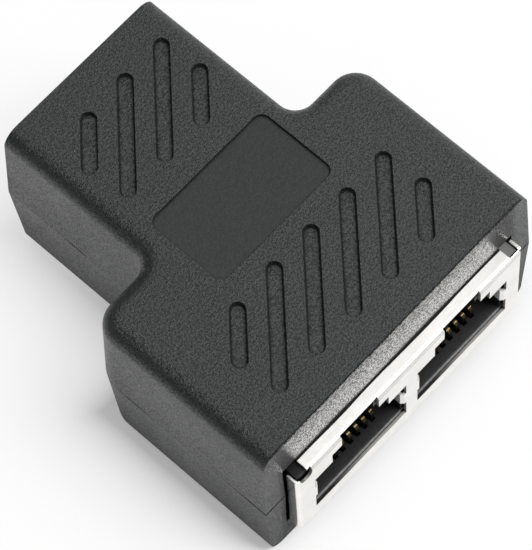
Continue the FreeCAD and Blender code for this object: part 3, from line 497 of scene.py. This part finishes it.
def crevices(name):
    """Group: painted shade, 1 deep in slots, joints and cavities where shade falls, 0 on open
    surfaces.
    """
    tree, given, result = new_group(name, {"Reach": 0.5 * MM}, ["Dark"])
    shelter = tree.nodes.new("ShaderNodeAmbientOcclusion")
    shelter.samples = SHELTER_SAMPLES
    tree.links.new(given["Reach"], shelter.inputs["Distance"])
    tree.links.new(map_range(tree, shelter.outputs["AO"], *SHELTERED), result["Dark"])
    return tree


def socket_depth(name):
    """Group: how far a point lies behind the front of its socket."""
    tree, given, result = new_group(name, {"Front": SOCKET_FRONT}, ["Depth"])
    along = math_node(tree, "ABSOLUTE", surface_point(tree)[1]["Y"])
    tree.links.new(math_node(tree, "SUBTRACT", given["Front"], along), result["Depth"])
    return tree


def soft_relief(name):
    """Group: the normal of a surface with bumps by a height, over softly rounded edges."""
    sizes = {"Height": 0.0, "Depth": 0.01 * MM, "Edge": 0.05 * MM}
    tree, given, result = new_group(name, sizes, ["Normal"], "NodeSocketVector")
    rounding = tree.nodes.new("ShaderNodeBevel")
    rounding.samples = EDGE_SAMPLES
    tree.links.new(given["Edge"], rounding.inputs["Radius"])
    bump = tree.nodes.new("ShaderNodeBump")
    bump.inputs["Strength"].default_value = 1.0
    tree.links.new(given["Depth"], bump.inputs["Distance"])
    tree.links.new(given["Height"], bump.inputs["Height"])
    tree.links.new(rounding.outputs["Normal"], bump.inputs["Normal"])
    tree.links.new(bump.outputs["Normal"], result["Normal"])
    return tree


# Finishes


def emboss(tree, shader, height, depth, edge):
    """Gives a shader the shared relief, with its own height and rounding."""
    relief = place_group(tree, soft_relief, Height=height, Depth=depth, Edge=edge)
    tree.links.new(relief["Normal"], shader["Normal"])


def label_mask(tree, at, settings):
    """1 on the floor of the label recess, 0 elsewhere."""
    across = band(tree, at["X"], settings.label_side, settings.label_width / 2, CRISP)
    along = band(tree, at["Y"], -settings.label_middle, settings.label_length / 2, CRISP)
    depth = settings.label_depth
    return product(tree, across, along, band(tree, at["Z"], TOP - depth, depth / 2, CRISP))


def front_edge(settings):
    """Where the front face meets the top, front to back."""
    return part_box("top_shell")[0].y + settings.front_lean


def rubbed_and_sheen_face(tree, at, settings):
    """Two masks of the front face: the strip above the sockets, lighter by plug wear and painted
    sheen, and the face beside it, lighter by painted sheen.
    """
    face = math_node(tree, "LESS_THAN", at["Y"], front_edge(settings))
    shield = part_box("front_shield")[1]
    above = math_node(tree, "GREATER_THAN", at["Z"], shield.z)
    height = math_node(tree, "SUBTRACT", at["Z"], shield.z)
    # The strip's ends lean with height, following the edge of the painted sheen.
    leaning = weighted(tree, at["X"], (height, settings.strip_lean))
    strip = band(tree, leaning, 0.0, shield.x - settings.strip_end, settings.strip_fade)
    half = settings.dull_width / 2
    across = math_node(tree, "ABSOLUTE", at["X"])
    ends = band(tree, across, shield.x - half, half, settings.dull_fade)
    beside = math_node(tree, "SUBTRACT", 1.0, strip)
    return product(tree, face, above, strip), product(tree, face, ends, beside)


def seam_and_edge_shade(tree, at, broad, settings):
    """1 in the broken seam between the shells, a dark joint, and along the front's top edge, where
    the dark line is painted shade.
    """
    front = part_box("top_shell")[0].y
    unbroken = front + settings.seam_open
    near = map_range(tree, at["Y"], unbroken, unbroken + settings.seam_open, 1.0, 0.0)
    opened = math_node(tree, "MAXIMUM", near, map_range(tree, broad, *SEAM_BREAKS))
    seam = product(tree, band(tree, at["Z"], TOP / 2, settings.seam, settings.seam), opened)
    half = settings.top_edge_shade
    along = band(tree, at["Y"], front_edge(settings), half, settings.top_fade)
    level = band(tree, at["Z"], TOP, 2.0 * half, half)
    return math_node(tree, "MAXIMUM", seam, product(tree, along, level))


def grained_plastic(settings):
    """Dark moulded plastic with a fine eroded grain, smoother on the label recess."""
    material, tree, shader = new_material("Grained Plastic")
    shader["Specular IOR Level"].default_value = settings.gloss
    shader["Coat IOR"].default_value = settings.glint_index
    shader["Coat Roughness"].default_value = settings.glint_roughness
    at = surface_point(tree)[1]
    grain = place_group(tree, eroded_grain, Scale=1.0 / settings.grain_size)
    kept = map_range(tree, label_mask(tree, at, settings), *FULL, 1.0, settings.label_grain)
    # Tone: grains over plastic, then the rubbed face with its painted sheen, then the dark seam,
    # painted shade in the slots and a painted dark line along the front's top edge.
    tops = weighted(tree, 0.0, (grain["Grain"], 1.0 - settings.speckle),
                    (grain["Speckle"], settings.speckle))
    raised = weighted(tree, LABEL_TONE, (math_node(tree, "SUBTRACT", tops, LABEL_TONE), kept))
    tone = blend(tree, raised, settings.plastic, settings.grain)
    rubbed, ends = rubbed_and_sheen_face(tree, at, settings)
    hollow = map_range(tree, grain["Speckle"], *FULL, settings.strip_hollow, 1.0)
    rubbed = product(tree, rubbed, hollow)
    # Rubbed face and its ends: lighter by plug wear and painted sheen.
    tone = blend(tree, math_node(tree, "MAXIMUM", rubbed, ends), tone, settings.scuff)
    # Painted shade deep in the slots and joints.
    deep = place_group(tree, crevices, Reach=settings.crevice)["Dark"]
    # Dark seam, and a painted dark line along the front's top edge.
    lines = seam_and_edge_shade(tree, at, grain["Broad"], settings)
    dark = product(tree, math_node(tree, "MAXIMUM", lines, deep), settings.slot_shade_and_joint_dark)
    tree.links.new(shade(tree, tone, dark), shader["Base Color"])
    glint = product(tree, grain["Speckle"], settings.glint, kept)
    tree.links.new(math_node(tree, "MAXIMUM", rubbed, glint), shader["Coat Weight"])
    dull_foot = settings.roughness + settings.foot_dulled
    sides = map_range(tree, at["Z"], 0.0, TOP * FOOT_HEIGHT, dull_foot, settings.roughness)
    rough = weighted(tree, sides, (grain["Grain"], GRAIN_ROUGHNESS),
                     (grain["Broad"], BROAD_ROUGHNESS), (ends, settings.dulled),
                     (dark, settings.slot_dulled))
    tree.links.new(rough, shader["Roughness"])
    height = weighted(tree, product(tree, grain["Height"], kept), (lines, -settings.line_depth))
    emboss(tree, shader, height, settings.grain_depth, settings.edge)
    return material


def sheet_shade_lines(tree, place, at, settings):
    """Painted shade along the shields' folds and a painted shadow line where they enter the
    housing, 0 elsewhere.
    """
    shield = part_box("front_shield")[1]
    fold = band(tree, at["Z"], shield.z - settings.fold, SOFT, SOFT)
    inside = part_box("top_shell")[1].y - settings.flange / 2
    waves = noise(tree, place, *JOINT_WAVES)
    thinnest = settings.joint * settings.joint_thin
    wide = map_range(tree, waves, *JOINT_BREAKS, thinnest, settings.joint)
    along = math_node(tree, "ABSOLUTE", at["Y"])
    near = math_node(tree, "ABSOLUTE", math_node(tree, "SUBTRACT", along, inside))
    beyond = math_node(tree, "SUBTRACT", near, wide)
    joint = math_node(tree, "LESS_THAN", beyond, settings.flange / 2)
    return math_node(tree, "MAXIMUM", product(tree, fold, settings.fold_shade),
                     product(tree, joint, settings.joint_shade))


def cut_edges(tree, at, settings):
    """1 on the sheared edges of the windows, 0 elsewhere."""
    low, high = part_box("front_shield")
    depth = place_group(tree, socket_depth, Front=SOCKET_FRONT)["Depth"]
    half = settings.sheet / 2
    thick = band(tree, depth, half, half - SHARP, SHARP)
    across = band(tree, at["X"], 0.0, high.x - settings.fold, SHARP)
    middle = (low.z + high.z) / 2
    level = band(tree, at["Z"], middle, high.z - middle - settings.fold, SHARP)
    leaf = band(tree, at["Z"], settings.leaf, settings.leaf_width / 2, CRISP)
    return product(tree, thick, across, math_node(tree, "SUBTRACT", level, leaf))


def sill_shadow(tree, at, settings):
    """Dark on the left part of each front window's lower edge, 0 elsewhere."""
    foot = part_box("front_jack_housing")[0].z
    sill = band(tree, at["Z"], foot + settings.sill, SOFT, CRISP)
    front = math_node(tree, "LESS_THAN", at["Y"], 0.0)
    right = math_node(tree, "GREATER_THAN", at["X"], 0.0)
    leftmost = -(settings.pitch + settings.window) / 2
    along = math_node(tree, "SUBTRACT", at["X"],
                      weighted(tree, leftmost, (right, settings.pitch)))
    fading = (settings.window * settings.sill_start, settings.window * settings.sill_end)
    return product(tree, sill, front, map_range(tree, along, *fading, settings.sill_dark, 0.0))


def bright_sheet(settings):
    """Nickel-plated sheet with faint rolling streaks and clouds, smoother on its side flaps."""
    material, tree, shader = new_material("Bright Sheet")
    shader["Metallic"].default_value = 1.0
    place, at = surface_point(tree)
    rolled = place_group(tree, rolled_streaks, Scale=1.0 / settings.streak,
                         Stretch=settings.stretch)
    clouded = scaled(settings.nickel, settings.cloud)
    tone = blend(tree, rolled["Cloud"], settings.nickel, clouded)
    cut = cut_edges(tree, at, settings)
    tone = blend(tree, cut, tone, settings.cut)
    sill = product(tree, sill_shadow(tree, at, settings), cut)
    # Painted shade along the folds and painted shadow where the sheet enters the housing.
    lines = math_node(tree, "MAXIMUM", sheet_shade_lines(tree, place, at, settings), sill)
    # Painted shade in the sheet's corners and at the windows' inner edges.
    deep = place_group(tree, crevices, Reach=settings.crevice)["Dark"]
    dark = math_node(tree, "MAXIMUM", lines, product(tree, deep, settings.sheet_corner_shade))
    tree.links.new(shade(tree, tone, dark), shader["Base Color"])
    across = math_node(tree, "ABSOLUTE", at["X"])
    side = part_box("front_shield")[1].x - settings.burnish
    smooth = map_range(tree, across, side, side + SOFT, settings.roughness,
                       settings.flap_roughness)
    rough = weighted(tree, smooth, (rolled["Streak"], STREAK_ROUGHNESS))
    tree.links.new(rough, shader["Roughness"])
    emboss(tree, shader, rolled["Cloud"], settings.cloud_depth, settings.edge)
    return material


def lip_wear_and_highlight(tree, at, streak, settings):
    """1 on the line that plugs rub on the lip of each socket, weak further in, 0 elsewhere: plug
    wear and a painted highlight on the lit lip, fading inwards as painted shade.
    """
    depth = place_group(tree, socket_depth, Front=SOCKET_FRONT)["Depth"]
    line = band(tree, depth, settings.lip, settings.lip_line, settings.lip_line)
    weak = map_range(tree, depth, settings.rub_start, settings.rub_end, settings.rub_weak,
                     settings.rub_weakest)
    level = band(tree, at["Z"], settings.lip_level, settings.lip_height, CRISP)
    return product(tree, math_node(tree, "MAXIMUM", line, weak), level,
                   map_range(tree, streak, *LIP_STREAKS))


def insert_top(tree, at):
    """1 on the upper face of the front insert's right half, 0 elsewhere: painted light where light
    falls into the shield's corner relief.
    """
    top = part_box("front_jack_housing")[1].z
    right = math_node(tree, "GREATER_THAN", at["X"], 0.0)
    return product(tree, band(tree, at["Z"], top, CRISP, CRISP), right)


def black_moulding(settings):
    """Smooth black plastic with flow marks and painted shade inside the sockets, lighter on the
    sockets' lips by plug wear and a painted highlight, and on the insert's top by painted light.
    """
    material, tree, shader = new_material("Black Moulding")
    shader["Specular IOR Level"].default_value = settings.gloss
    at = surface_point(tree)[1]
    marks = place_group(tree, eroded_grain, Scale=1.0 / settings.flow)
    lighter = scaled(settings.moulding, settings.flow_tone)
    tone = blend(tree, marks["Broad"], settings.moulding, lighter)
    # Painted shade deep inside the sockets.
    deep = place_group(tree, crevices, Reach=settings.shadow)["Dark"]
    tone = shade(tree, tone, deep)
    # Painted light on the insert's top in the right corner relief.
    tone = blend(tree, insert_top(tree, at), tone, settings.skin)
    # Plug wear and a painted highlight on the lips.
    worn = lip_wear_and_highlight(tree, at, marks["Grain"], settings)
    tree.links.new(blend(tree, worn, tone, settings.wear), shader["Base Color"])
    rough = weighted(tree, settings.roughness, (marks["Grain"], FLOW_ROUGHNESS),
                     (deep, SHELTER_ROUGHNESS))
    tree.links.new(rough, shader["Roughness"])
    emboss(tree, shader, marks["Height"], settings.flow_depth, settings.edge)
    return material


def crest_glint_and_arm_shade(tree, settings):
    """Masks of each spring: a painted glint on the crest at its front, where plugs rub, and
    painted shade on the arm behind it.
    """
    depth = place_group(tree, socket_depth, Front=SOCKET_FRONT)["Depth"]
    spot = band(tree, depth, settings.crest, settings.spot, SOFT)
    arm = map_range(tree, depth, settings.crest, settings.crest + settings.arm, 0.0,
                    settings.arm_shade)
    return product(tree, spot, settings.spot_glint), arm


def gold_spring(settings):
    """Gold-plated spring wire, browner where the plate is thin, with painted shade deep in the
    sockets and a painted glint on each crest.
    """
    material, tree, shader = new_material("Gold Spring")
    shader["Metallic"].default_value = 1.0
    drawn = place_group(tree, rolled_streaks, Scale=1.0 / settings.wire_streak, Stretch=1.0)
    thin = map_range(tree, drawn["Cloud"], *THIN_PLATE)
    tone = blend(tree, thin, settings.gold, settings.bronze)
    # Painted shade on the springs deep in the sockets, and a painted glint on each crest.
    deep = place_group(tree, crevices, Reach=settings.reach)["Dark"]
    spot, arm = crest_glint_and_arm_shade(tree, settings)
    dull = math_node(tree, "MAXIMUM", map_range(tree, deep, *SPRING_SHADE), arm)
    tone = blend(tree, spot, shade(tree, tone, dull), settings.gold)
    tree.links.new(tone, shader["Base Color"])
    rough = weighted(tree, settings.wire_roughness, (drawn["Streak"], WIRE_ROUGHNESS),
                     (dull, DULL_ROUGHNESS))
    tree.links.new(rough, shader["Roughness"])
    emboss(tree, shader, drawn["Height"], settings.wire_depth, settings.edge)
    return material


def lacquered_board(settings):
    """Green solder mask over woven glass cloth."""
    material, tree, shader = new_material("Lacquered Board")
    at = surface_point(tree)[1]
    turns = math.tau / settings.weave
    waves = [math_node(tree, "SINE", product(tree, at[axis], turns)) for axis in "XY"]
    strands = map_range(tree, product(tree, *waves), -1.0, 1.0, *FULL)
    lighter = scaled(settings.mask, settings.weave_tone)
    tree.links.new(blend(tree, strands, settings.mask, lighter), shader["Base Color"])
    cloth = place_group(tree, eroded_grain, Scale=1.0 / settings.weave)
    rough = weighted(tree, settings.roughness, (cloth["Broad"], BOARD_ROUGHNESS))
    tree.links.new(rough, shader["Roughness"])
    emboss(tree, shader, strands, settings.weave_depth, settings.edge)
    return material


# Pieces


def named(ending):
    """The solids whose names end so."""
    return [name for name in sorted(NODES) if name.endswith(ending)]


def contact_names():
    """The contact springs of all the sockets."""
    carriers = named("_contact_carrier")
    return [name for name in sorted(NODES) if "_contact_" in name and name not in carriers]


def dress(names, material):
    """Gives the named solids one material."""
    if not names:
        raise RuntimeError(f"No solid takes the finish {material.name}")
    for name in names:
        slots = NODES[name].data.materials
        slots.clear()
        slots.append(material)


class SPLITTER_OT_housing(Operator):
    """Gives the two shells their grained plastic"""

    bl_idname = "splitter.housing"
    bl_label = "Finish Housing"

    def execute(self, context):
        dress(named("_shell"), grained_plastic(context.scene.splitter_housing))
        return {"FINISHED"}


class SPLITTER_OT_shields(Operator):
    """Gives the shields their bright plate"""

    bl_idname = "splitter.shields"
    bl_label = "Finish Shields"

    def execute(self, context):
        dress(named("_shield"), bright_sheet(context.scene.splitter_shield))
        return {"FINISHED"}


class SPLITTER_OT_mouldings(Operator):
    """Gives the socket inserts and the contact carriers their black plastic"""

    bl_idname = "splitter.mouldings"
    bl_label = "Finish Mouldings"

    def execute(self, context):
        names = named("_jack_housing") + named("_contact_carrier")
        dress(names, black_moulding(context.scene.splitter_socket))
        return {"FINISHED"}


class SPLITTER_OT_contacts(Operator):
    """Gives the contact springs their gold"""

    bl_idname = "splitter.contacts"
    bl_label = "Finish Contacts"

    def execute(self, context):
        dress(contact_names(), gold_spring(context.scene.splitter_socket))
        return {"FINISHED"}


class SPLITTER_OT_board(Operator):
    """Gives the circuit board its lacquer"""

    bl_idname = "splitter.board"
    bl_label = "Finish Board"

    def execute(self, context):
        dress(["circuit_board"], lacquered_board(context.scene.splitter_board))
        return {"FINISHED"}


# Stage


def seen_directly(tree):
    """1 for the rays that see a surface itself or its reflection."""
    path = tree.nodes.new("ShaderNodeLightPath")
    mirrored = math_node(tree, "MAXIMUM", path.outputs["Is Glossy Ray"],
                         path.outputs["Is Transmission Ray"])
    return math_node(tree, "MAXIMUM", path.outputs["Is Camera Ray"], mirrored)


def distance_from(tree, at, low, high):
    """How far a point of the floor lies outside a rectangle."""
    squares = []
    for axis, start, end in (("X", low[0], high[0]), ("Y", low[1], high[1])):
        offset = math_node(tree, "SUBTRACT", at[axis], (start + end) / 2)
        offset = math_node(tree, "ABSOLUTE", offset)
        beyond = math_node(tree, "SUBTRACT", offset, (end - start) / 2)
        beyond = math_node(tree, "MAXIMUM", beyond, 0.0)
        squares.append(product(tree, beyond, beyond))
    return math_node(tree, "SQRT", math_node(tree, "ADD", *squares))


def painted_floor_whitening(tree, settings):
    """Painted lightening of the floor: 0 beside the part, rising to 1 away from it, which narrows
    the part's shadow.
    """
    at = surface_point(tree)[1]
    low, high = CAD_BOX
    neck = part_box("rear_jack_housing")[1].x + settings.neck_wall
    front = map_range(tree, at["Y"], low.y, low.y + settings.shadow_reach,
                      settings.front_shadow, 1.0)
    rear = map_range(tree, at["Y"], settings.shoulder, high.y, 1.0, settings.rear_shadow)
    strength = product(tree, front, rear)
    body = ((low.x, low.y), (high.x, settings.shoulder), settings.shadow_reach)
    stem = ((-neck, low.y), (neck, high.y), settings.neck_reach)
    lit = 1.0
    for start, end, reach in (body, stem):
        away = math_node(tree, "DIVIDE", distance_from(tree, at, start, end), -reach)
        dark = product(tree, math_node(tree, "EXPONENT", away), strength)
        lit = product(tree, math_node(tree, "SUBTRACT", 1.0, dark), lit)
    return lit


def pale_floor(settings):
    """A wide pale floor that keeps the part's shadow."""
    bpy.ops.mesh.primitive_grid_add(x_subdivisions=FLOOR_CELLS, y_subdivisions=FLOOR_CELLS,
                                    size=settings.floor_size)
    floor = bpy.context.object
    floor.name = "studio_floor"
    material, tree, surface = bare_material("Pale Floor")
    paper = tree.nodes.new("ShaderNodeBsdfDiffuse")
    paper.inputs["Color"].default_value = (*settings.floor, 1.0)
    glow = tree.nodes.new("ShaderNodeEmission")
    glow.inputs["Strength"].default_value = settings.white
    mixed = tree.nodes.new("ShaderNodeMixShader")
    # Plain white share of the seen floor: painted lightening away from the part, stronger before
    # the sockets and behind the part.
    white = weighted(tree, settings.shadow_glow,
                     (painted_floor_whitening(tree, settings), settings.glow - settings.shadow_glow))
    tree.links.new(product(tree, seen_directly(tree), white), mixed.inputs["Fac"])
    tree.links.new(paper.outputs["BSDF"], mixed.inputs[1])
    tree.links.new(glow.outputs["Emission"], mixed.inputs[2])
    tree.links.new(mixed.outputs["Shader"], surface)
    floor.data.materials.append(material)


def dark_flags(settings):
    """A curved row of dark cards, low over the floor, that only reflections see."""
    reach, foot = settings.flag_reach, settings.flag_foot
    corners = []
    for step in range(FLAG_STEPS + 1):
        turn = settings.flag_start + settings.flag_sweep * step / FLAG_STEPS
        for level in (foot, foot + reach):
            corners.append((reach * math.cos(turn), reach * math.sin(turn), level))
    faces = [(2 * step, 2 * step + 2, 2 * step + 3, 2 * step + 1) for step in range(FLAG_STEPS)]
    mesh = bpy.data.meshes.new("studio_flags")
    mesh.from_pydata(corners, [], faces)
    flags = bpy.data.objects.new("studio_flags", mesh)
    bpy.context.scene.collection.objects.link(flags)
    flags.visible_camera = False
    flags.visible_diffuse = False
    flags.visible_shadow = False
    material, tree, surface = bare_material("Dark Flags")
    cloth = tree.nodes.new("ShaderNodeBsdfDiffuse")
    cloth.inputs["Color"].default_value = (*settings.flag, 1.0)
    tree.links.new(cloth.outputs["BSDF"], surface)
    flags.data.materials.append(material)


def white_surround(settings):
    """Even light from all round, seen as plain white."""
    world = bpy.data.worlds.new("White Surround")
    bpy.context.scene.world = world
    world.use_nodes = True
    tree = world.node_tree
    background = next(node for node in tree.nodes if node.type == "BACKGROUND")
    background.inputs["Color"].default_value = (1.0, 1.0, 1.0, 1.0)
    strength = weighted(tree, settings.ambient, (seen_directly(tree), 1.0 - settings.ambient))
    tree.links.new(strength, background.inputs["Strength"])


def softbox(name, aim, way, distance, size, watts):
    """A square area light that faces a point."""
    lamp = bpy.data.lights.new(name, "AREA")
    lamp.shape = "SQUARE"
    lamp.size = size
    lamp.energy = watts
    holder = bpy.data.objects.new(name, lamp)
    toward = Vector(way).normalized()
    holder.location = Vector(aim) + toward * distance
    holder.rotation_euler = toward.to_track_quat("Z", "Y").to_euler()
    bpy.context.scene.collection.objects.link(holder)


def photo_camera(settings):
    """The camera at the viewing angle, turned about its own axis by its roll."""
    turn, rise, roll = settings.azimuth, settings.elevation, settings.roll
    level = Vector((math.sin(turn), -math.cos(turn), 0.0))
    back = level * math.cos(rise) + Vector((0.0, 0.0, math.sin(rise)))
    right = Vector((math.cos(turn), math.sin(turn), 0.0))
    up = back.cross(right)
    tilted_right = right * math.cos(roll) + up * math.sin(roll)
    tilted_up = up * math.cos(roll) - right * math.sin(roll)
    camera = bpy.data.objects.new("photo_camera", bpy.data.cameras.new("photo_camera"))
    camera.data.lens = camera.data.sensor_width * settings.focal_pixels / IMAGE_HEIGHT
    camera.data.clip_start = CLIP_START
    camera.location = Vector(settings.aim) + back * settings.distance
    camera.rotation_euler = Matrix((tilted_right, tilted_up, back)).transposed().to_euler()
    bpy.context.scene.collection.objects.link(camera)
    bpy.context.scene.camera = camera


class SPLITTER_OT_stage(Operator):
    """Builds the floor, the light and the camera"""

    bl_idname = "splitter.stage"
    bl_label = "Build Stage"

    def execute(self, context):
        settings = context.scene.splitter_stage
        context.scene.view_settings.view_transform = "Standard"
        pale_floor(settings)
        white_surround(settings)
        dark_flags(settings)
        softbox("key_softbox", settings.aim, settings.key_way, settings.key_distance,
                settings.key_size, settings.key_power)
        softbox("front_softbox", settings.aim, settings.fill_way, settings.fill_distance,
                settings.fill_size, settings.fill_power)
        photo_camera(settings)
        return {"FINISHED"}


# Panel and registration


class SPLITTER_PT_finish(Panel):
    """Lists the finishes of the splitter"""

    bl_idname = "SPLITTER_PT_finish"
    bl_label = "Splitter Finish"
    bl_space_type = "VIEW_3D"
    bl_region_type = "UI"
    bl_category = "Splitter"

    def draw(self, context):
        for attribute, group, operators in STEPS:
            box = self.layout.box()
            for operator in operators:
                box.operator(operator.bl_idname)
            for key in group.__annotations__:
                box.prop(getattr(context.scene, attribute), key)


# Each row: the scene's settings, their group, and the operators that use them.
STEPS = (
    ("splitter_housing", HousingSettings, (SPLITTER_OT_housing,)),
    ("splitter_shield", ShieldSettings, (SPLITTER_OT_shields,)),
    ("splitter_socket", SocketSettings, (SPLITTER_OT_mouldings, SPLITTER_OT_contacts)),
    ("splitter_board", BoardSettings, (SPLITTER_OT_board,)),
    ("splitter_stage", StageSettings, (SPLITTER_OT_stage,)),
)


def register():
    """Registers the settings, the operators and the panel."""
    for attribute, group, operators in STEPS:
        bpy.utils.register_class(group)
        setattr(bpy.types.Scene, attribute, PointerProperty(type=group))
        for operator in operators:
            bpy.utils.register_class(operator)
    bpy.utils.register_class(SPLITTER_PT_finish)


def unregister():
    """Takes away what register added, in the opposite order."""
    bpy.utils.unregister_class(SPLITTER_PT_finish)
    for attribute, group, operators in reversed(STEPS):
        for operator in reversed(operators):
            bpy.utils.unregister_class(operator)
        delattr(bpy.types.Scene, attribute)
        bpy.utils.unregister_class(group)


def main():
    """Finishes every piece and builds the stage."""
    register()
    bpy.ops.splitter.housing()
    bpy.ops.splitter.shields()
    bpy.ops.splitter.mouldings()
    bpy.ops.splitter.contacts()
    bpy.ops.splitter.board()
    bpy.ops.splitter.stage()


if __name__ == "__main__":
    main()
